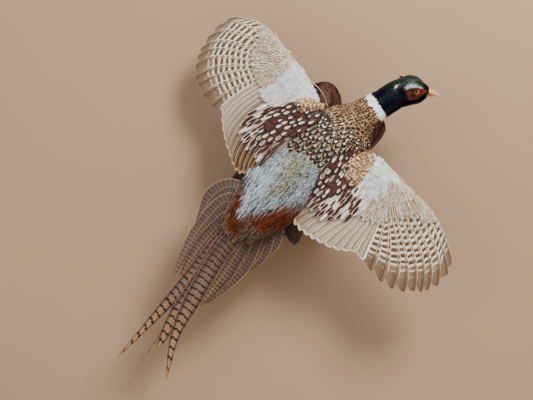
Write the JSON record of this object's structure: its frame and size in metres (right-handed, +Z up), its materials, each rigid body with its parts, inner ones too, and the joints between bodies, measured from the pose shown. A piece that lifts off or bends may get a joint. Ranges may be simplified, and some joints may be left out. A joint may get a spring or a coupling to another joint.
{
  "type": "taxidermy pheasant",
  "caption": "Ring-necked cock pheasant mounted in flight on a piece of varnished driftwood with a flat back that hangs on a wall, wings and long barred tail spread.",
  "frame": {"origin": "middle of the driftwood's flat back, on the wall", "axes": "+X to the right along the wall, +Y into the wall, +Z up; the bird is on the -Y side and flies up to the right"},
  "size_m": [0.6605, 0.1784, 0.7249],
  "materials": {
    "body_feathers": "soft feathers, golden buff with black scallops, blue-grey over the lower back",
    "hood_feathers": "glossy green to violet-black feathers with a white collar",
    "wattle_skin": "matte, finely pimpled bare skin",
    "bill_horn": "smooth satin horn",
    "glass_eye": "polished, amber iris round a black pupil",
    "wing_feathers": "stiff feathers, cream and tan with brown bars",
    "tail_feathers": "stiff feathers, tan with black bars and maroon fringes",
    "thigh_feathers": "loose dark brown feathers",
    "leg_scales": "dry scaled skin with horn claws",
    "varnished_driftwood": "dark, weathered grain under gloss varnish",
    "hanger_steel": "plain sheet"
  },
  "bodies": {
    "root": {"bill_lower": "bill_horn", "bill_upper": "bill_horn", "driftwood": "varnished_driftwood", "ear_tuft_left": "hood_feathers", "ear_tuft_right": "hood_feathers", "eye_left": "glass_eye", "eye_right": "glass_eye", "foot_left": "leg_scales", "foot_right": "leg_scales", "hanger_plate": "hanger_steel", "head": "hood_feathers", "neck": "hood_feathers", "shank_left": "leg_scales", "shank_right": "leg_scales", "tail_feather_01": "tail_feathers", "tail_feather_02": "tail_feathers", "tail_feather_03": "tail_feathers", "tail_feather_04": "tail_feathers", "tail_feather_05": "tail_feathers", "tail_feather_06": "tail_feathers", "tail_feather_07": "tail_feathers", "tail_feather_08": "tail_feathers", "tail_feather_09": "tail_feathers", "tail_feather_10": "tail_feathers", "tail_feather_11": "tail_feathers", "thigh_left": "thigh_feathers", "thigh_right": "thigh_feathers", "trunk": "body_feathers", "wattle_left": "wattle_skin", "wattle_right": "wattle_skin", "wing_left_alula": "wing_feathers", "wing_left_arm": "wing_feathers", "wing_left_primaries": "wing_feathers", "wing_left_secondaries": "wing_feathers", "wing_right_alula": "wing_feathers", "wing_right_arm": "wing_feathers", "wing_right_primaries": "wing_feathers", "wing_right_secondaries": "wing_feathers"}
  },
  "joints": []
}
